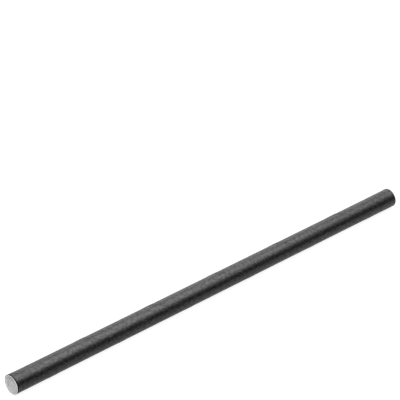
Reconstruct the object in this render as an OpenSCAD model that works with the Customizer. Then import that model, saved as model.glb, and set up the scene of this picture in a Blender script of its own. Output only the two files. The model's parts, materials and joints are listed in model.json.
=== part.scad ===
// Paper drinking straw, lying on a table.
// Three paper strips are wound round a mandrel in the same direction and glued to each other:
// a black outer ply that laps over its own edge, and two white plies whose edges butt.
// The straw lies along X. Its middle is over the origin, and Z = 0 is the table.

/* [Straw] */
// Length of the straw, from cut end to cut end
straw_len = 210; // [60:1:260]
// Outside diameter, measured beside the lap
straw_d = 8; // [5:0.1:12]

/* [Paper] */
// Thickness of the black outer ply
outer_t = 0.10; // [0.06:0.01:0.20]
// Thickness of the white middle ply
middle_t = 0.16; // [0.08:0.01:0.30]
// Thickness of the white inner ply
inner_t = 0.16; // [0.08:0.01:0.30]
// Thickness of the glue film between two plies, left open
glue_t = 0.02; // [0.01:0.01:0.05]

/* [Winding] */
// Distance along the straw that one turn of a strip takes
lead = 35.3; // [24:0.1:60]
// Width of the outer ply's lap over its own edge, measured round the straw
lap_w = 2.4; // [1.4:0.1:4.0]
// Height of the lap above the plain outside: less than a ply, because the winding belt presses it in
lap_rise = 0.05; // [0.03:0.01:0.15]
// Share of the lap's rise that is pressed flat where the straw lies on it
rest_flat = 0.6; // [0.2:0.1:0.8]
// Gap between the butted edges of a white ply, measured round the straw
butt_gap = 0.3; // [0.15:0.05:0.8]
// Angle of the outer ply's free edge at the middle of the straw, from the top towards -Y
outer_seam = 325; // [0:5:355]
// Angle of the middle ply's gap at the middle of the straw, from the top towards -Y
middle_seam = 110; // [0:5:355]
// Angle of the inner ply's gap at the middle of the straw, from the top towards -Y
inner_seam = 220; // [0:5:355]

/* [Hidden] */

// Outside radius of each ply. The plies nest, with a film of glue between them.
outer_r = straw_d / 2;
middle_r = outer_r - outer_t - glue_t;
inner_r = middle_r - middle_t - glue_t;
// The straw lies on the flat of the lap's crest
crest_r = outer_r + lap_rise;
axis_z = crest_r - rest_flat * lap_rise;

// How far a cut runs past the surface that it goes through
past = 0.03;
// Turn from one section of a strip's helix to the next, and the widest step within a section
step_angle = 10;
$fn = 96;

// Width measured round a cylinder, as an angle
function round_angle(w, r) = w / r * 180 / PI;

// Point of the helix that starts at angle a in the middle of the straw, at x and a radius
function on_helix(x, a, r) =
    let (turn = a + 360 * x / lead)
    [x, -r * sin(turn), r * cos(turn)];

// A closed tube between two radii, along X
module tube(r_out, r_in, length) {
    rotate([0, 90, 0]) difference() {
        cylinder(r = r_out, h = length, center = true);
        cylinder(r = r_in, h = length + 2 * past, center = true);
    }
}

// An outline of [angle, radius] points carried along the straw on a right-handed helix.
// Each wall is split along the diagonal that keeps closer to the round.
module wind(outline, angle, length) {
    steps = ceil(360 / step_angle * length / lead);
    n = len(outline);
    points = [for (i = [0:steps], p = outline) on_helix(length * (i / steps - 0.5), angle + p[0], p[1])];
    walls = [for (i = [0:steps - 1], j = [0:n - 1])
        let (k = (j + 1) % n, here = i * n, next = here + n, ahead = outline[k][0] > outline[j][0])
        each ahead
            ? [[here + j, here + k, next + j], [here + k, next + k, next + j]]
            : [[here + j, here + k, next + k], [here + j, next + k, next + j]]];
    caps = [[for (j = [n - 1:-1:0]) j], [for (j = [0:n - 1]) steps * n + j]];
    polyhedron(points, concat(walls, caps));
}

// Turn along a straight line in the section, from its point nearest the axis to where it passes r
function line_angle(nearest, r) = acos(nearest / r);

// Section that holds the lap. It is square at the strip's free edge, at angle 0. Where the strip
// comes down over its buried edge it is taut, so that side is a straight line, which passes the
// crest lap_w from the free edge.
function lap_outline() =
    let (near_r = outer_r - past,
         high = crest_r + 2 * past,
         foot_a = -round_angle(lap_w, outer_r) - line_angle(near_r, crest_r),
         top_a = foot_a + line_angle(near_r, high),
         steps = ceil(-top_a / step_angle))
    concat(
        [[foot_a, near_r], [0, near_r]],
        [for (i = [0:steps]) [top_a * i / steps, high]]
    );

// Section of the hollow that the taut strip leaves beside its buried edge, where it has nothing
// under it until it lies on the middle ply again
function hollow_outline() =
    let (in_r = outer_r - outer_t,
         near_r = in_r - past,
         high = in_r + lap_rise,
         edge_a = -round_angle(lap_w, outer_r))
    [[edge_a - line_angle(near_r, high), near_r], [edge_a, near_r], [edge_a, high]];

// A tube as wide as the crest, cut back all round to the plain outside, apart from the lap
module outer_ply() {
    color("#3a3a3b") difference() {
        tube(crest_r, outer_r - outer_t, straw_len);
        difference() {
            tube(crest_r + past, outer_r, straw_len + 2 * past);
            wind(lap_outline(), outer_seam, straw_len + 4 * past);
        }
        wind(hollow_outline(), outer_seam, straw_len + 2 * past);
        translate([0, 0, -axis_z - straw_d / 2]) cube([straw_len + 2 * past, straw_d, straw_d], center = true);
    }
}

// A white ply, with the thin gap where its edges butt
module butted_ply(r_out, thickness, seam) {
    r_in = r_out - thickness;
    half = round_angle(butt_gap, r_out) / 2;
    low = r_in - past;
    high = r_out + past;
    difference() {
        tube(r_out, r_in, straw_len);
        wind([[-half, low], [half, low], [half, high], [-half, high]], seam, straw_len + 2 * past);
    }
}

module middle_ply() {
    color("#e6e6e4") butted_ply(middle_r, middle_t, middle_seam);
}

module inner_ply() {
    color("#f1f1ef") butted_ply(inner_r, inner_t, inner_seam);
}

// Sets the straw down on the table
module lay() {
    translate([0, 0, axis_z]) children();
}

lay() outer_ply();
lay() middle_ply();
lay() inner_ply();
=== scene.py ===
"""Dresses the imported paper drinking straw: its three wound plies, their paper, and a studio round it."""

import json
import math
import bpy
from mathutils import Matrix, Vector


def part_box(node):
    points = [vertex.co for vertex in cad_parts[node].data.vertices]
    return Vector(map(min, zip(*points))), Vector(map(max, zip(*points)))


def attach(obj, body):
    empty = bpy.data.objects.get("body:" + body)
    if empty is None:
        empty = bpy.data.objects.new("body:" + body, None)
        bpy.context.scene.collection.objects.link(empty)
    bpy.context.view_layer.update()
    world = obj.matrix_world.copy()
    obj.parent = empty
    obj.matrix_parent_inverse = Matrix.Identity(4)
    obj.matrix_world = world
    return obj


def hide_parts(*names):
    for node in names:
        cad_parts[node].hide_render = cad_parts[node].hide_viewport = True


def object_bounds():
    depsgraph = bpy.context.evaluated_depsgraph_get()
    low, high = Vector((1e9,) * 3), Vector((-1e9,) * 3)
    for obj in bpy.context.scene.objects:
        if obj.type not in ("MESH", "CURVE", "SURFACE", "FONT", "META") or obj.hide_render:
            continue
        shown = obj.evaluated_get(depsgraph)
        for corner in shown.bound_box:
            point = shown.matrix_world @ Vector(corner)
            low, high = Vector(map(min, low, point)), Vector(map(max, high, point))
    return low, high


bl_info = {
    "name": "Paper drinking straw",
    "version": (1, 0, 0),
    "blender": (4, 5, 0),
    "location": "3D View > Sidebar > Straw",
    "description": "Winds the three plies of a paper drinking straw round its CAD solids and lights them",
    "category": "Object",
}

import bpy
import numpy as np
from bpy.props import FloatProperty, FloatVectorProperty, IntProperty, PointerProperty
from mathutils import Matrix, Vector

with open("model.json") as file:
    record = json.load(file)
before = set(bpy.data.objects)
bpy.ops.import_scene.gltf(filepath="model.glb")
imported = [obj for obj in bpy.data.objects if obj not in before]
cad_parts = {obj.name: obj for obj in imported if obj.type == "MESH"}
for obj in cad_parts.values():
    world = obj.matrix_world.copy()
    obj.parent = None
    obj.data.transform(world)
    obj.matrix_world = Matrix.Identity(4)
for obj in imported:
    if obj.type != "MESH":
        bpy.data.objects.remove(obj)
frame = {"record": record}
CAD_LOW, CAD_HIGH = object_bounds()

MM = 0.001
FULL_TURN = 2 * math.pi

# The bore's mount gives the straw's axis, and the boxes of the plies give their outsides
BORE = next(m for m in frame["record"]["mounts"] if m["name"] == "bore")
BORE_R = BORE["dims"]["r_mm"] * MM
AXIS_Z = BORE["pos_m"][2]
LENGTH = CAD_HIGH.x - CAD_LOW.x
CREST_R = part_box("outer_ply")[1].z - AXIS_Z
MIDDLE_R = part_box("middle_ply")[1].z - AXIS_Z
INNER_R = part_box("inner_ply")[1].z - AXIS_Z


# Settings

class StrawWinding(bpy.types.PropertyGroup):
    """How the paper strips are wound, as in the CAD source."""

    lead: FloatProperty(
        name="Lead", description="Distance along the straw that one turn of a strip takes",
        default=35.3 * MM, precision=5, unit="LENGTH")
    outer_t: FloatProperty(
        name="Outer ply", description="Thickness of the black outer ply",
        default=0.10 * MM, precision=5, unit="LENGTH")
    glue_t: FloatProperty(
        name="Glue film", description="Thickness of the glue film between two plies",
        default=0.02 * MM, precision=5, unit="LENGTH")
    lap_w: FloatProperty(
        name="Lap width", description="Width of the outer ply's lap over its own edge, round the straw",
        default=2.4 * MM, precision=5, unit="LENGTH")
    lap_rise: FloatProperty(
        name="Lap rise", description="Height of the lap over the plain outside",
        default=0.05 * MM, precision=5, unit="LENGTH")
    ramp_w: FloatProperty(
        name="Ramp width", description="Width over which the outer ply comes down behind its lap",
        default=0.31 * MM, precision=5, unit="LENGTH")
    butt_gap: FloatProperty(
        name="Butt gap", description="Gap between the butted edges of a white ply, round the straw",
        default=0.3 * MM, precision=5, unit="LENGTH")
    outer_seam: FloatProperty(
        name="Outer seam", description="Angle of the free edge at the middle, from the top towards -Y",
        default=math.radians(325), unit="ROTATION")
    middle_seam: FloatProperty(
        name="Middle seam", description="Angle of the middle ply's gap at the middle of the straw",
        default=math.radians(110), unit="ROTATION")
    inner_seam: FloatProperty(
        name="Inner seam", description="Angle of the inner ply's gap at the middle of the straw",
        default=math.radians(220), unit="ROTATION")


class StrawWear(bpy.types.PropertyGroup):
    """Small departures of soft paper from a true tube."""

    flare: FloatProperty(
        name="Flare", description="How far the cut rims stand out",
        default=0.03 * MM, precision=6, unit="LENGTH")
    flare_length: FloatProperty(
        name="Flare length", description="Length over which a rim flares",
        default=0.30 * MM, precision=6, unit="LENGTH")
    near_swell: FloatProperty(
        name="Near swell", description="How far the plies slacken outwards at the near cut",
        default=0.03 * MM, precision=6, unit="LENGTH")
    far_swell: FloatProperty(
        name="Far swell", description="How far the plies slacken outwards at the far cut",
        default=0.09 * MM, precision=6, unit="LENGTH")
    end_reach: FloatProperty(
        name="Swell reach", description="Length from an end over which the swelling falls off",
        default=12 * MM, precision=5, unit="LENGTH")
    oval: FloatProperty(
        name="Ovalness", description="How far the tube is out of round, to each side",
        default=0.06 * MM, precision=6, unit="LENGTH")
    oval_turn: FloatProperty(
        name="Oval turn", description="Where the tube is widest, from the top towards -Y",
        default=math.radians(-38), unit="ROTATION")
    gap_sink: FloatProperty(
        name="Gap sink", description="How far the outer ply sinks over the middle ply's gap",
        default=0.015 * MM, precision=6, unit="LENGTH")
    waver: FloatProperty(
        name="Waver", description="Height of the slow waves in the wall",
        default=0.008 * MM, precision=6, unit="LENGTH")
    edge_waver: FloatProperty(
        name="Edge waver", description="How far the slit edges of a strip stray from a true line",
        default=0.02 * MM, precision=6, unit="LENGTH")


class StrawPaper(bpy.types.PropertyGroup):
    """Colours and surface of the papers."""

    black: FloatVectorProperty(
        name="Black", description="Colour of the dyed outer paper", subtype="COLOR",
        size=3, min=0, max=1, default=(0.008, 0.008, 0.0081))
    fleck: FloatVectorProperty(
        name="Fleck", description="Colour of the pale fibres in the black paper", subtype="COLOR",
        size=3, min=0, max=1, default=(0.13, 0.13, 0.128))
    middle_white: FloatVectorProperty(
        name="Middle white", description="Colour of the middle ply", subtype="COLOR",
        size=3, min=0, max=1, default=(0.76, 0.755, 0.75))
    # Colour of the middle ply's cut on its darker side, towards +Y, fading in across the axis
    cut_dark_side: FloatVectorProperty(
        name="Smear", description="Colour of the middle ply's cut where black fibres are dragged over it",
        subtype="COLOR", size=3, min=0, max=1, default=(0.38, 0.38, 0.38))
    white: FloatVectorProperty(
        name="White", description="Colour of the inner ply", subtype="COLOR",
        size=3, min=0, max=1, default=(0.81, 0.807, 0.80))
    # Paler than the inner ply: partly the fresh cut's own white, partly a painted highlight on the lit rim
    # of the mouth
    white_cut_and_highlight: FloatVectorProperty(
        name="White cut", description="Colour of the fresh cut of the inner ply", subtype="COLOR",
        size=3, min=0, max=1, default=(0.90, 0.898, 0.89))
    black_roughness: FloatProperty(
        name="Black roughness", description="Roughness of the calendered outer paper",
        default=0.36, min=0, max=1)
    black_sheen: FloatProperty(
        name="Black sheen", description="Strength of the outer paper's reflections, where 0.5 is plain",
        default=0.29, min=0, max=1)
    black_size: FloatProperty(
        name="Black size", description="Mean weight of the uneven size on the outer paper",
        default=0.165, min=0, max=1)
    white_roughness: FloatProperty(
        name="White roughness", description="Roughness of the white paper",
        default=0.75, min=0, max=1)


class StrawStage(bpy.types.PropertyGroup):
    """Camera, lamps and floor."""

    key_radiance: FloatProperty(
        name="Key radiance", description="Brightness of the overhead softbox, where 1 is white",
        default=4.8, min=0)
    key_distance: FloatProperty(
        name="Key distance", description="Distance of the key and back softboxes from the straw",
        default=1.1, unit="LENGTH")
    key_width: FloatProperty(
        name="Key width", description="Width of the softbox, along the straw",
        default=0.80, unit="LENGTH")
    key_length: FloatProperty(
        name="Key length", description="Length of the softbox, across the straw",
        default=1.22, unit="LENGTH")
    back_radiance: FloatProperty(
        name="Back radiance", description="Brightness of the softbox behind the straw",
        default=1.3, min=0)
    back_width: FloatProperty(
        name="Back width", description="Width and height of the softbox behind the straw",
        default=0.95, unit="LENGTH")
    fill_radiance: FloatProperty(
        name="Fill radiance", description="Brightness of the softbox before the open end",
        default=3.5, min=0)
    fill_distance: FloatProperty(
        name="Fill distance", description="Distance of the fill softbox from the straw",
        default=1.2, unit="LENGTH")
    fill_width: FloatProperty(
        name="Fill width", description="Width and height of the fill softbox",
        default=0.90, unit="LENGTH")
    ambient: FloatProperty(
        name="Ambient", description="Brightness of the room on matt surfaces, where 1 is white",
        default=0.26, min=0)
    focal_length: FloatProperty(
        name="Focal length", description="Focal length of the camera's lens, in millimetres",
        default=183.06, min=1)
    floor_segments: IntProperty(
        name="Floor segments", description="Segments round the floor disc", default=96, min=12)


def winding():
    """The scene's winding settings."""
    return bpy.context.scene.straw_winding


def wear():
    """The scene's wear settings."""
    return bpy.context.scene.straw_wear


# Shapes

# Reach of the near cut's rubbed edge along the wall, and depth of the far cut's faces. On the inner ply
# this band of the bore is paler, partly as fresh paper and partly as a painted highlight on the mouth's lit
# rim.
CUT_EDGE = 0.3 * MM
CUT_DEPTH = 0.01 * MM
# The wall's slow waves: the length over which they change, how much they change across the straw and from
# which turn, and their seed
WALL_WAVE = 18 * MM
WAVES_ACROSS = 2
WAVES_TURN = 0.5
WALL_SEED = 11
# The stray of the strips' slit edges: the lengths over which it changes, how much it changes from a white
# strip's one edge to its other, and its seeds
OUTER_STRAY = (2.5 * MM, 7 * MM)
OUTER_SEED = 5
WHITE_STRAY = 3 * MM
WHITE_SPREAD = 2
WHITE_SEED = 7
# Cosine of the turn from straight down past which the wall can't reach the floor
FLOOR_COSINE = 0.5
# Curl of the outer ply's free edge, and the turns before the edge over which it curls and strays
EDGE_CURL = 0.012 * MM
CURL_TURN = 0.12
STRAY_TURN = 0.15
# Gap left between the layers of the lap, share of the ramp's width over which the strip gets back its
# thickness past the lap, and width over which it sinks into the middle ply's gap
LAYER_GAP = 0.001 * MM
EASE_SHARE = 0.25
SINK_WIDTH = 0.35 * MM
# Rings along the plies, steps round them, and the angle from which an edge is sharp
OUTER_RINGS = 236
OUTER_STEP = math.radians(3)
WHITE_RINGS = 200
WHITE_STEP = math.radians(4)
SHARP_ANGLE = math.radians(35)


def spread_samples(start, stop, step, extra):
    """Even samples from start to stop, with extra ones put in, sorted and each once."""
    even = np.linspace(start, stop, max(2, int(math.ceil((stop - start) / step)) + 1))
    return np.unique(np.concatenate([even, np.asarray(extra, float)]).round(9))


def smooth_step(t):
    """0 below 0, 1 above 1 and 3 t squared less 2 t cubed between."""
    t = np.clip(t, 0, 1)
    return t * t * (3 - 2 * t)


def soft_wave(a, b, seed):
    """A third of the sum of five sines in a and b with seeded directions and phases: mostly -1 to 1."""
    rng = np.random.default_rng(seed)
    total = np.zeros(np.broadcast(a, b).shape)
    for _ in range(5):
        ka, kb, phase = rng.normal(), rng.normal(), rng.uniform(0, FULL_TURN)
        total = total + np.sin(ka * a + kb * b + phase)
    return total / 3


def ring_places(rings, crowd=14 * MM):
    """Places of the rings along the straw: with q the even distance from an end, each ring stands at
    q squared over q plus crowd, scaled to the length, so that rings crowd together at both ends."""
    t = np.linspace(-1, 1, rings)
    q = (1 - np.abs(t)) * LENGTH / 2
    half = LENGTH / 2
    moved = q * q / (q + crowd) * (half + crowd) / half
    return np.sign(t) * (half - moved)


def wall_shift(turn, x):
    """How far the whole wall stands off a true cylinder at an angle and a place along the straw:
    a flare and a longer swelling fall off exponentially from each cut, the tube is oval by the cosine of
    twice the angle from where it is widest, and slow waves run through the wall.
    Where that would press the plain outside through the floor, it stops at the floor."""
    w = wear()
    from_end = LENGTH / 2 - np.abs(x)
    swell = np.where(x < 0, w.near_swell, w.far_swell)
    rim = w.flare * np.exp(-from_end / w.flare_length) + swell * np.exp(-from_end / w.end_reach)
    oval = w.oval * np.cos(2 * (turn - w.oval_turn))
    waves = w.waver * soft_wave(WAVES_ACROSS * np.cos(turn - WAVES_TURN), x / WALL_WAVE, WALL_SEED)
    downwards = np.maximum(-np.cos(turn), FLOOR_COSINE)
    room = AXIS_Z / downwards - (CREST_R - winding().lap_rise)
    return np.minimum(rim + oval + waves, room)


def there_and_back(outer, inner):
    """Rows that run over the outer face and then back over the inner one."""
    return np.concatenate([outer, inner[:, ::-1]], axis=1)


def ribbon_faces(rows, count):
    """Quads of a ribbon whose rows run there and back over count points a face: its walls all round, and
    the cuts at its first and last rows, from face to face."""
    index = np.arange(rows * 2 * count).reshape(rows, 2 * count)
    here, ahead = index[:-1], index[1:]
    walls = np.stack([here, np.roll(here, -1, 1), np.roll(ahead, -1, 1), ahead], axis=-1).reshape(-1, 4)
    near_out, near_in = index[0, :count], index[0, ::-1][:count]
    far_out, far_in = index[-1, :count], index[-1, ::-1][:count]
    near = np.stack([near_out[1:], near_out[:-1], near_in[:-1], near_in[1:]], axis=-1)
    far = np.stack([far_out[:-1], far_out[1:], far_in[1:], far_in[:-1]], axis=-1)
    return np.concatenate([walls, near, far])


def wound_ribbon(name, across, outside, inside, turn_of, x, shift):
    """A closed ribbon wound into a tube. across are angles over the strip, and turn_of(across, x) gives
    the angle round the straw. A point of its outer face stands at radius outside(across) + shift,
    and of its inner face at inside(across) + shift. The faces join along both edges and both cuts.
    Its map holds the distance along the strip and over it, in metres."""
    a, xs = np.meshgrid(across, x)
    turn = turn_of(a, xs)
    moved = shift(turn, xs)
    radii = there_and_back(outside(a) + moved, inside(a) + moved)
    turns = there_and_back(turn, turn)
    places = there_and_back(xs, xs)
    heights = np.maximum(radii * np.cos(turns) + AXIS_Z, 0)
    points = np.stack([places, -radii * np.sin(turns), heights], axis=-1).reshape(-1, 3)
    faces = ribbon_faces(len(x), len(across))

    pitch = math.atan2(winding().lead, FULL_TURN * outside(across).mean())
    along = xs / math.sin(pitch) + outside(a) * a * math.cos(pitch)
    over = -outside(a) * a * math.sin(pitch)
    strip = np.stack([there_and_back(along, along), there_and_back(over, over)], axis=-1).reshape(-1, 2)
    nearest = points[faces][:, :, 0].min(axis=1)
    cut = (nearest < CUT_EDGE - LENGTH / 2) | (nearest > LENGTH / 2 - CUT_DEPTH)
    return closed_mesh(name, points, faces, strip, cut)


def closed_mesh(name, points, faces, strip, cut):
    """Mesh object of quads with smooth faces and sharp edges, its place in its points. The faces of the
    cut take the second material."""
    mesh = bpy.data.meshes.new(name)
    mesh.vertices.add(len(points))
    mesh.vertices.foreach_set("co", points.astype(np.float32).ravel())
    mesh.loops.add(faces.size)
    mesh.loops.foreach_set("vertex_index", faces.astype(np.int32).ravel())
    mesh.polygons.add(len(faces))
    mesh.polygons.foreach_set("loop_start", np.arange(0, faces.size, faces.shape[1], dtype=np.int32))
    mesh.update(calc_edges=True)
    if mesh.validate():
        raise RuntimeError(f"{name}: the mesh has faults")
    mesh.polygons.foreach_set("use_smooth", np.ones(len(faces), bool))
    mesh.polygons.foreach_set("material_index", cut.astype(np.int32))
    mesh.set_sharp_from_angle(angle=SHARP_ANGLE)
    layer = mesh.uv_layers.new(name="strip")
    layer.data.foreach_set("uv", strip[faces.ravel()].astype(np.float32).ravel())
    piece = bpy.data.objects.new(name, mesh)
    bpy.context.scene.collection.objects.link(piece)
    return piece


def wind_outer_ply():
    """The black strip, from the edge that it buries, at 0, to its free edge, a turn and a lap further.
    Under the lap it is pressed thinner. It rises over its buried edge along a smooth ramp, lies on
    itself over the lap, and ends in a square slit edge. It sinks by a bell curve over the middle gap."""
    w, soft = winding(), wear()
    plain_r = CREST_R - w.lap_rise
    in_r = plain_r - w.outer_t
    lap, ramp = w.lap_w / plain_r, w.ramp_w / plain_r
    # The lap's two layers together are one strip and the lap's rise thick
    pressed_t = (w.outer_t + w.lap_rise) / 2
    free = FULL_TURN + lap
    ease = ramp * EASE_SHARE

    def over(a):
        return smooth_step((a - FULL_TURN + ramp) / ramp)

    def thickness(a):
        under = 1 - smooth_step((a - lap) / ease)
        return w.outer_t - (w.outer_t - pressed_t) * np.maximum(under, over(a))

    def inside(a):
        curl = EDGE_CURL * smooth_step((a - free + CURL_TURN) / CURL_TURN)
        return in_r + over(a) * (pressed_t + LAYER_GAP) + curl

    def outside(a):
        return inside(a) + thickness(a)

    def turn_of(a, x):
        short, long = OUTER_STRAY
        stray = soft.edge_waver / plain_r * soft_wave(x / short, x / long, OUTER_SEED)
        stray = stray * smooth_step((a - free + STRAY_TURN) / STRAY_TURN)
        return w.outer_seam + FULL_TURN * x / w.lead - free + a + stray

    def shift(turn, x):
        from_gap = np.angle(np.exp(1j * (turn - w.middle_seam - FULL_TURN * x / w.lead)))
        sunk = -soft.gap_sink * np.exp(-(from_gap * plain_r / SINK_WIDTH) ** 2)
        return wall_shift(turn, x) + sunk

    # More samples where the thickness or the radius changes fast
    marks = [lap, lap + ease / 2, lap + ease]
    marks += list(free - CURL_TURN / np.array([1, 2, 4, 12]))
    marks += list(FULL_TURN - ramp * np.linspace(0, 1, 7))
    across = spread_samples(0, free, OUTER_STEP, marks)
    places = ring_places(OUTER_RINGS)
    return wound_ribbon("outer_paper", across, outside, inside, turn_of, places, shift)


def wind_butted_ply(name, out_r, in_r, seam):
    """A white strip whose two slit edges face each other over a thin gap. Its faces keep their radii,
    and its edges stray a little from a true helix."""
    w, soft = winding(), wear()
    half = w.butt_gap / 2 / out_r

    def outside(a):
        return np.full_like(a, out_r)

    def inside(a):
        return np.full_like(a, in_r)

    def turn_of(a, x):
        stray = soft.edge_waver / out_r * soft_wave(x / WHITE_STRAY, a * WHITE_SPREAD, WHITE_SEED)
        return seam + FULL_TURN * x / w.lead + a + stray

    across = spread_samples(half, FULL_TURN - half, WHITE_STEP, [])
    places = ring_places(WHITE_RINGS)
    return wound_ribbon(name, across, outside, inside, turn_of, places, wall_shift)


# Papers

PAPER_IOR = 1.5
# Values between which a noise mostly lies, and the narrower span over which clouds vary the size
NOISE_SPAN = (0.3, 0.7)
SIZE_SPAN = (0.38, 0.62)
# Spread of the roughness to each side of a paper's own
ROUGH_SPREAD = 0.04
# Share of the fibres that lie across the others
CROSSED_SHARE = 0.4
# Noise at which a pale fibre begins to show, less the share of such fibres, and at which it is full
FLECK_START = 0.80
FLECK_FULL = 0.84
# Side of the middle ply's cut that keeps its own white, from the top towards -Y, and how far from the axis
# to each side the darker colour fades in
PALE_SIDE_TURN = math.radians(75)
SIDE_FADE_REACH = 0.3 * MIDDLE_R


def node(tree, kind, place, **values):
    """A new node at a place in the tree. Each value sets a socket if the node has one of that name, and
    otherwise the node's own property."""
    made = tree.nodes.new(kind)
    made.location = place
    for key, value in values.items():
        label = key.replace("_", " ").title()
        if label in made.inputs:
            made.inputs[label].default_value = value
        else:
            setattr(made, key, value)
    return made


def remap(tree, place, source, span, target, **values):
    """The source's values, taken from one span to another and held within it."""
    made = node(tree, "ShaderNodeMapRange", place, **values)
    for label, value in zip(("From Min", "From Max", "To Min", "To Max"), (*span, *target)):
        made.inputs[label].default_value = value
    tree.links.new(source, made.inputs["Value"])
    return made.outputs["Result"]


def empty_material(name):
    """A new material whose tree has no nodes yet, and the tree."""
    material = bpy.data.materials.new(name)
    material.use_nodes = True
    material.node_tree.nodes.clear()
    return material, material.node_tree


def paper_grain_group():
    """Node group that gives paper its surface from strip coordinates in metres: long fine fibres that lie
    mostly along the strip, cloudy formation, and a mask of sparse pale fibres."""
    if "paper_grain" in bpy.data.node_groups:
        return bpy.data.node_groups["paper_grain"]
    tree = bpy.data.node_groups.new("paper_grain", "ShaderNodeTree")
    tree.interface.new_socket(name="Strip", in_out="INPUT", socket_type="NodeSocketVector")
    for name in ("Fibre Scale", "Fleck Share"):
        tree.interface.new_socket(name=name, in_out="INPUT", socket_type="NodeSocketFloat")
    for name in ("Fibres", "Clouds", "Flecks"):
        tree.interface.new_socket(name=name, in_out="OUTPUT", socket_type="NodeSocketFloat")
    given = node(tree, "NodeGroupInput", (-900, 0))
    out = node(tree, "NodeGroupOutput", (500, 0))
    link = tree.links.new

    def noise(place, stretch=1.0, turn=0, **values):
        """A noise whose grains are turned to the strip, and longer than wide by 1 over the stretch."""
        laid = node(tree, "ShaderNodeMapping", (place[0] - 250, place[1]),
                    scale=(stretch, 1, 1), rotation=(0, 0, math.radians(turn)))
        made = node(tree, "ShaderNodeTexNoise", place, **values)
        link(given.outputs["Strip"], laid.inputs["Vector"])
        link(laid.outputs["Vector"], made.inputs["Vector"])
        return made

    along = noise((-400, 200), stretch=0.16, detail=4, roughness=0.6, distortion=0.6)
    crossed = noise((-400, -100), stretch=0.45, turn=38, detail=3, roughness=0.6, distortion=0.8)
    clouds = noise((-400, -400), scale=800, detail=3, roughness=0.55)
    streaks = noise((-400, -700), stretch=0.30, turn=-20,
                    scale=1700, detail=1, roughness=0.4, distortion=1.2)
    for fibres in (along, crossed):
        link(given.outputs["Fibre Scale"], fibres.inputs["Scale"])
    both = node(tree, "ShaderNodeMix", (-150, 100), data_type="FLOAT")
    both.inputs["Factor"].default_value = CROSSED_SHARE
    link(along.outputs["Fac"], both.inputs["A"])
    link(crossed.outputs["Fac"], both.inputs["B"])
    # The more pale fibres there are, the lower the noise at which they begin to show
    start = node(tree, "ShaderNodeMath", (-150, -500), operation="SUBTRACT")
    start.inputs[0].default_value = FLECK_START
    link(given.outputs["Fleck Share"], start.inputs[1])
    flecks = remap(tree, (100, -600), streaks.outputs["Fac"], (0, FLECK_FULL), (0, 1),
                   interpolation_type="SMOOTHSTEP")
    link(start.outputs["Value"], flecks.node.inputs["From Min"])
    link(both.outputs["Result"], out.inputs["Fibres"])
    link(clouds.outputs["Fac"], out.inputs["Clouds"])
    link(flecks, out.inputs["Flecks"])
    return tree


def paper_material(name, colour, roughness, mottle, bump_height, fibre_scale,
                   fleck=None, fleck_share=0.0, specular=0.5, size_coat=0.0, cockle=0.5):
    """Paper: its colour is darker and paler with the formation's clouds, with sparse fibres of the fleck's
    colour if it has one, and its fibres and clouds raise a fine bump. Size that lies thicker in some
    clouds than in others makes its gloss uneven."""
    material, tree = empty_material(name)
    link = tree.links.new
    out = node(tree, "ShaderNodeOutputMaterial", (900, 0))
    shader = node(tree, "ShaderNodeBsdfPrincipled", (600, 0), roughness=roughness, metallic=0.0)
    shader.inputs["IOR"].default_value = PAPER_IOR
    shader.inputs["Specular IOR Level"].default_value = specular
    link(shader.outputs["BSDF"], out.inputs["Surface"])

    strip = node(tree, "ShaderNodeUVMap", (-700, 0), uv_map="strip")
    grain = node(tree, "ShaderNodeGroup", (-450, 0), node_tree=paper_grain_group())
    grain.inputs["Fibre Scale"].default_value = fibre_scale
    grain.inputs["Fleck Share"].default_value = fleck_share
    link(strip.outputs["UV"], grain.inputs["Strip"])
    clouds, fibres = grain.outputs["Clouds"], grain.outputs["Fibres"]

    shade = remap(tree, (-200, 150), clouds, NOISE_SPAN, (1 - mottle, 1 + mottle))
    tint = node(tree, "ShaderNodeMix", (50, 150), data_type="RGBA", blend_type="MULTIPLY")
    tint.inputs["Factor"].default_value = 1
    tint.inputs["A"].default_value = (*colour, 1)
    link(shade, tint.inputs["B"])
    fleck = colour if fleck is None else fleck
    flecked = node(tree, "ShaderNodeMix", (300, 150), data_type="RGBA")
    flecked.inputs["B"].default_value = (*fleck, 1)
    link(grain.outputs["Flecks"], flecked.inputs["Factor"])
    link(tint.outputs["Result"], flecked.inputs["A"])
    link(flecked.outputs["Result"], shader.inputs["Base Color"])

    about = (roughness - ROUGH_SPREAD, roughness + ROUGH_SPREAD)
    rough = remap(tree, (50, -100), fibres, NOISE_SPAN, about)
    link(rough, shader.inputs["Roughness"])
    if size_coat > 0:
        shader.inputs["Coat Roughness"].default_value = roughness
        sized = remap(tree, (300, -50), clouds, SIZE_SPAN, (0, 2 * size_coat))
        link(sized, shader.inputs["Coat Weight"])

    raised = node(tree, "ShaderNodeMath", (50, -350), operation="MULTIPLY_ADD")
    raised.inputs[1].default_value = cockle
    bump = node(tree, "ShaderNodeBump", (300, -300), strength=1.0, distance=bump_height)
    link(clouds, raised.inputs[0])
    link(fibres, raised.inputs[2])
    link(raised.outputs["Value"], bump.inputs["Height"])
    link(bump.outputs["Normal"], shader.inputs["Normal"])
    return material


def cut_material(name, colour, mottle, specular):
    """The coarse paper of a knife's cut, with hardly any gloss."""
    return paper_material(name, colour, roughness=0.9, mottle=mottle, bump_height=0.02 * MM,
                          fibre_scale=12000, specular=specular)


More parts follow.
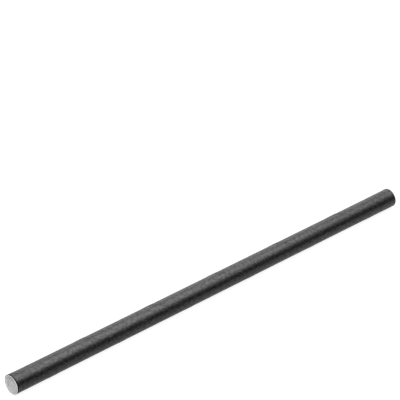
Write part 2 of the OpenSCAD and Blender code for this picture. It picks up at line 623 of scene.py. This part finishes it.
def darken_cut_side(material, colour):
    """Gives a cut a darker colour on the side away from the pale side: its share falls from 1 to 0 by a
    smooth ramp over the distance from the straw's axis towards the pale side."""
    tree = material.node_tree
    link = tree.links.new
    base = next(n for n in tree.nodes if n.type == "BSDF_PRINCIPLED").inputs["Base Color"]
    clean = base.links[0].from_socket
    place = node(tree, "ShaderNodeTexCoord", (-450, 500))
    from_axis = node(tree, "ShaderNodeVectorMath", (-250, 500), operation="SUBTRACT")
    from_axis.inputs[1].default_value = (0, 0, AXIS_Z)
    along = node(tree, "ShaderNodeVectorMath", (-50, 500), operation="DOT_PRODUCT")
    along.inputs[1].default_value = (0, -math.sin(PALE_SIDE_TURN), math.cos(PALE_SIDE_TURN))
    share = remap(tree, (150, 500), along.outputs["Value"], (SIDE_FADE_REACH, -SIDE_FADE_REACH), (0, 1),
                  interpolation_type="SMOOTHSTEP")
    dragged = node(tree, "ShaderNodeMix", (350, 400), data_type="RGBA")
    dragged.inputs["B"].default_value = (*colour, 1)

    link(place.outputs["Object"], from_axis.inputs[0])
    link(from_axis.outputs["Vector"], along.inputs[0])
    link(share, dragged.inputs["Factor"])
    link(clean, dragged.inputs["A"])
    link(dragged.outputs["Result"], base)


def dress(piece, paper, cut_paper, cad_node):
    """Gives a piece its paper, and its cut edges theirs, and lets it stand for its CAD node."""
    piece.data.materials.append(paper)
    piece.data.materials.append(cut_paper)
    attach(piece, "root")
    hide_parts(cad_node)


# Stage

# Angles at which the camera looks at the straw, and where the middle of the straw's axis lies in its view
VIEW_DOWN = math.radians(30.17)
VIEW_TURN = math.radians(42.50)
CENTRE_AWAY = 0.8344
CENTRE_RIGHT = 0.005728
CENTRE_UP = -0.034576
# Width of the camera's sensor in millimetres, and the distances that it sees
SENSOR_WIDTH = 36
CLIP_RANGE = (0.05, 20)
# The key hangs over the far half, the back light behind it and the fill before the open end
KEY_DIRECTION = Vector((0.42, -0.15, 0.895))
BACK_DIRECTION = Vector((0.45, 0.68, 0.58))
FILL_DIRECTION = Vector((-0.79, -0.27, 0.55))
# The dark card stands on the camera's right, and the dark sheet lies before the straw, just over the floor.
# Only reflections see them, as a painted dark reflection: the card for the dark room on that side, the
# sheet for a darker floor.
CARD_CENTRE = Vector((0.80, -1.25, 0.36))
CARD_SIZE = (4.0, 0.80)
SHEET_LOW = (-0.6, -1.2)
SHEET_HIGH = (2.6, -0.026)
SHEET_HEIGHT = 0.001
# Colour of the card and sheet that only reflections see: a painted dark reflection
PAINTED_REFLECTION_DARK = (0.01, 0.01, 0.01, 1)
WHITE = (1, 1, 1, 1)
# Radii of the floor's small middle and of its rim
FLOOR_RADII = (0.01, 3.0)
# The floor's grey as matt surfaces get it. To the camera and to reflections it is a matt part and a glow,
# which are white together.
FLOOR_GREY = (0.7, 0.7, 0.7, 1)
SEEN_MATT = 0.20
SEEN_GLOW = 0.88
MIRRORED_MATT = 0.48
MIRRORED_GLOW = 0.33


def camera_axes():
    """The camera's right, up and forward directions."""
    across, along = math.cos(VIEW_TURN), math.sin(VIEW_TURN)
    level, down = math.cos(VIEW_DOWN), math.sin(VIEW_DOWN)
    right = Vector((across, -along, 0))
    up = Vector((along * down, across * down, level))
    forward = Vector((along * level, across * level, -down))
    return right, up, forward


def set_camera(settings):
    """Stands the camera where the middle of the straw's axis has its place in the view."""
    right, up, forward = camera_axes()
    camera = bpy.data.objects.new("camera", bpy.data.cameras.new("camera"))
    camera.data.sensor_width = SENSOR_WIDTH
    camera.data.lens = settings.focal_length
    camera.data.clip_start, camera.data.clip_end = CLIP_RANGE
    place = Vector((0, 0, AXIS_Z)) - right * CENTRE_RIGHT - up * CENTRE_UP - forward * CENTRE_AWAY
    axes = Matrix((right, up, -forward)).transposed().to_4x4()
    camera.matrix_world = Matrix.Translation(place) @ axes
    bpy.context.scene.collection.objects.link(camera)
    bpy.context.scene.camera = camera


def hang_softbox(name, direction, distance, width, length, radiance):
    """An oval area lamp that faces the straw, its length along Y. Its power is its radiance times pi times
    its area."""
    lamp = bpy.data.lights.new(name, "AREA")
    lamp.shape = "ELLIPSE"
    lamp.size = width
    lamp.size_y = length
    area = math.pi * width * length / 4
    lamp.energy = radiance * math.pi * area
    away = direction.normalized()
    along = Vector((0, 1, 0)).cross(away).normalized()
    axes = Matrix((along, away.cross(along), away)).transposed().to_4x4()
    box = bpy.data.objects.new(name, lamp)
    box.matrix_world = Matrix.Translation(away * distance) @ axes
    bpy.context.scene.collection.objects.link(box)


def seen_mask(tree, place):
    """1 for rays from the camera or off a mirror or through glass, and 0 for matt light."""
    path = node(tree, "ShaderNodeLightPath", place)
    mirror = node(tree, "ShaderNodeMath", (place[0] + 200, place[1]), operation="MAXIMUM")
    seen = node(tree, "ShaderNodeMath", (place[0] + 400, place[1]), operation="MAXIMUM")
    tree.links.new(path.outputs["Is Camera Ray"], mirror.inputs[0])
    tree.links.new(path.outputs["Is Glossy Ray"], mirror.inputs[1])
    tree.links.new(mirror.outputs["Value"], seen.inputs[0])
    tree.links.new(path.outputs["Is Transmission Ray"], seen.inputs[1])
    return seen.outputs["Value"]


def fill_room(settings):
    """World that is white where it is seen and dimmer as light."""
    world = bpy.data.worlds.new("room")
    bpy.context.scene.world = world
    world.use_nodes = True
    tree = world.node_tree
    tree.nodes.clear()
    out = node(tree, "ShaderNodeOutputWorld", (500, 0))
    light = node(tree, "ShaderNodeBackground", (250, 0), color=WHITE)
    level = remap(tree, (50, 0), seen_mask(tree, (-600, 0)), (0, 1), (settings.ambient, 1))
    tree.links.new(level, light.inputs["Strength"])
    tree.links.new(light.outputs["Background"], out.inputs["Surface"])


def floor_material():
    """White card that glows where it is seen, and still takes a faint shadow. In a reflection it is as
    white, but glows less, so that it has its full shadow under the straw."""
    material, tree = empty_material("white_floor")
    link = tree.links.new
    out = node(tree, "ShaderNodeOutputMaterial", (600, 0))
    mirrored = node(tree, "ShaderNodeLightPath", (-600, -100)).outputs["Is Glossy Ray"]
    share = remap(tree, (-250, 0), mirrored, (0, 1), (SEEN_MATT, MIRRORED_MATT))
    strength = remap(tree, (-250, -250), mirrored, (0, 1), (SEEN_GLOW, MIRRORED_GLOW))
    matt = node(tree, "ShaderNodeBsdfDiffuse", (0, 150), color=FLOOR_GREY)
    faint = node(tree, "ShaderNodeBsdfDiffuse", (0, 0))
    glow = node(tree, "ShaderNodeEmission", (0, -150), color=WHITE)
    lit = node(tree, "ShaderNodeAddShader", (200, -50))
    pick = node(tree, "ShaderNodeMixShader", (400, 0))
    link(share, faint.inputs["Color"])
    link(strength, glow.inputs["Strength"])
    link(faint.outputs["BSDF"], lit.inputs[0])
    link(glow.outputs["Emission"], lit.inputs[1])
    link(seen_mask(tree, (-600, 300)), pick.inputs["Fac"])
    link(matt.outputs["BSDF"], pick.inputs[1])
    link(lit.outputs["Shader"], pick.inputs[2])
    link(pick.outputs["Shader"], out.inputs["Surface"])
    return material


def lay_floor(settings):
    """A disc at the table's height: a ring of quads between two circles, round a small middle face."""
    turn = np.linspace(0, FULL_TURN, settings.floor_segments, endpoint=False)
    r, t = np.meshgrid(FLOOR_RADII, turn)
    points = np.stack([r * np.cos(t), r * np.sin(t), np.zeros_like(r)], axis=-1).reshape(-1, 3)
    index = np.arange(len(points)).reshape(-1, 2)
    ahead = np.roll(index, -1, 0)
    faces = np.stack([index[:, 0], index[:, 1], ahead[:, 1], ahead[:, 0]], axis=-1).tolist()
    faces.append(index[:, 0].tolist())
    mesh = bpy.data.meshes.new("floor")
    mesh.from_pydata(points.tolist(), [], faces)
    mesh.materials.append(floor_material())
    floor = bpy.data.objects.new("floor", mesh)
    bpy.context.scene.collection.objects.link(floor)


def paint_dark_reflections():
    """A black card on the camera's right, and a black sheet on the floor from it to near the straw. Only
    reflections
    see them, and they cast no shadow: they are a painted dark reflection on the band of the straw that
    reflects them, the card for the dark room on that side and the sheet for a darker floor."""
    width, height = CARD_SIZE
    across = Vector((-CARD_CENTRE.y, CARD_CENTRE.x, 0)).normalized() * width / 2
    up = Vector((0, 0, height / 2))
    corners = [CARD_CENTRE + a * across + b * up for a, b in ((-1, -1), (1, -1), (1, 1), (-1, 1))]
    (x_low, y_low), (x_high, y_high) = SHEET_LOW, SHEET_HIGH
    around = ((x_low, y_high), (x_low, y_low), (x_high, y_low), (x_high, y_high))
    corners += [Vector((x, y, SHEET_HEIGHT)) for x, y in around]
    mesh = bpy.data.meshes.new("dark_card")
    mesh.from_pydata([tuple(c) for c in corners], [], [(0, 1, 2, 3), (4, 5, 6, 7)])
    material, tree = empty_material("dark_card")
    out = node(tree, "ShaderNodeOutputMaterial", (300, 0))
    shader = node(tree, "ShaderNodeBsdfPrincipled", (0, 0), base_color=PAINTED_REFLECTION_DARK, roughness=1)
    shader.inputs["Specular IOR Level"].default_value = 0
    tree.links.new(shader.outputs["BSDF"], out.inputs["Surface"])
    mesh.materials.append(material)
    card = bpy.data.objects.new("dark_card", mesh)
    # The camera, matt light and shadows don't see the card and sheet: they are a painted dark reflection
    card.visible_camera = False
    card.visible_diffuse = False
    card.visible_shadow = False
    bpy.context.scene.collection.objects.link(card)


# Operators

class STRAW_OT_outer_ply(bpy.types.Operator):
    """Wind the black outer ply, with its lap, and give it its paper"""

    bl_idname = "straw.outer_ply"
    bl_label = "Wind outer ply"

    def execute(self, context):
        paper = context.scene.straw_paper
        black = paper_material(
            "black_paper", paper.black, roughness=paper.black_roughness, mottle=0.7, bump_height=0.006 * MM,
            fibre_scale=9000, fleck=paper.fleck, fleck_share=0.06, specular=paper.black_sheen,
            size_coat=paper.black_size, cockle=3.0)
        cut = cut_material("black_paper_cut", paper.black, mottle=0.3, specular=0.03)
        dress(wind_outer_ply(), black, cut, "outer_ply")
        return {"FINISHED"}


class STRAW_OT_white_plies(bpy.types.Operator):
    """Wind the white middle and inner plies and give them their papers"""

    bl_idname = "straw.white_plies"
    bl_label = "Wind white plies"

    def execute(self, context):
        paper, w = context.scene.straw_paper, winding()
        middle = paper_material(
            "middle_paper", paper.middle_white, roughness=paper.white_roughness, mottle=0.02,
            bump_height=0.008 * MM, fibre_scale=8000)
        inner = paper_material(
            "white_paper", paper.white, roughness=paper.white_roughness, mottle=0.13,
            bump_height=0.014 * MM, fibre_scale=8000, cockle=3.0)
        # The middle ply's cut is darker on its +Y side
        side_darkened_cut = cut_material("middle_paper_cut", paper.middle_white, mottle=0.05, specular=0.1)
        darken_cut_side(side_darkened_cut, paper.cut_dark_side)
        # The inner ply's cut and its band inside the bore are paler: partly fresh paper, partly painted
        # highlight
        cut = cut_material("white_paper_cut", paper.white_cut_and_highlight, mottle=0.05, specular=0.2)
        middle_ply = wind_butted_ply("middle_paper", MIDDLE_R, INNER_R + w.glue_t, w.middle_seam)
        inner_ply = wind_butted_ply("inner_paper", INNER_R, BORE_R, w.inner_seam)
        dress(middle_ply, middle, side_darkened_cut, "middle_ply")
        dress(inner_ply, inner, cut, "inner_ply")
        return {"FINISHED"}


class STRAW_OT_stage(bpy.types.Operator):
    """Set up the camera, the three softboxes, the room, the floor, and the dark card and sheet that only
    reflections see, a painted dark reflection
    """

    bl_idname = "straw.stage"
    bl_label = "Set the stage"

    def execute(self, context):
        s = context.scene.straw_stage
        context.scene.view_settings.view_transform = "Standard"
        set_camera(s)
        hang_softbox("key", KEY_DIRECTION, s.key_distance, s.key_width, s.key_length, s.key_radiance)
        hang_softbox("back", BACK_DIRECTION, s.key_distance, s.back_width, s.back_width, s.back_radiance)
        hang_softbox("fill", FILL_DIRECTION, s.fill_distance, s.fill_width, s.fill_width, s.fill_radiance)
        fill_room(s)
        lay_floor(s)
        paint_dark_reflections()
        return {"FINISHED"}


class STRAW_PT_panel(bpy.types.Panel):
    """Lists the straw's steps and settings"""

    bl_idname = "STRAW_PT_panel"
    bl_label = "Paper straw"
    bl_space_type = "VIEW_3D"
    bl_region_type = "UI"
    bl_category = "Straw"

    def draw(self, context):
        for operator in OPERATORS:
            self.layout.operator(operator.bl_idname)
        for settings in (context.scene.straw_winding, context.scene.straw_wear,
                         context.scene.straw_paper, context.scene.straw_stage):
            box = self.layout.box()
            for key in settings.__annotations__:
                box.prop(settings, key)


OPERATORS = (STRAW_OT_stage, STRAW_OT_outer_ply, STRAW_OT_white_plies)
SETTINGS = {
    "straw_winding": StrawWinding,
    "straw_wear": StrawWear,
    "straw_paper": StrawPaper,
    "straw_stage": StrawStage,
}


def register():
    for kind in (*SETTINGS.values(), *OPERATORS, STRAW_PT_panel):
        bpy.utils.register_class(kind)
    for name, kind in SETTINGS.items():
        setattr(bpy.types.Scene, name, PointerProperty(type=kind))


def unregister():
    for name in SETTINGS:
        delattr(bpy.types.Scene, name)
    for kind in (STRAW_PT_panel, *reversed(OPERATORS), *reversed(list(SETTINGS.values()))):
        bpy.utils.unregister_class(kind)


def main():
    register()
    bpy.ops.straw.stage()
    bpy.ops.straw.outer_ply()
    bpy.ops.straw.white_plies()


if __name__ == "__main__":
    main()
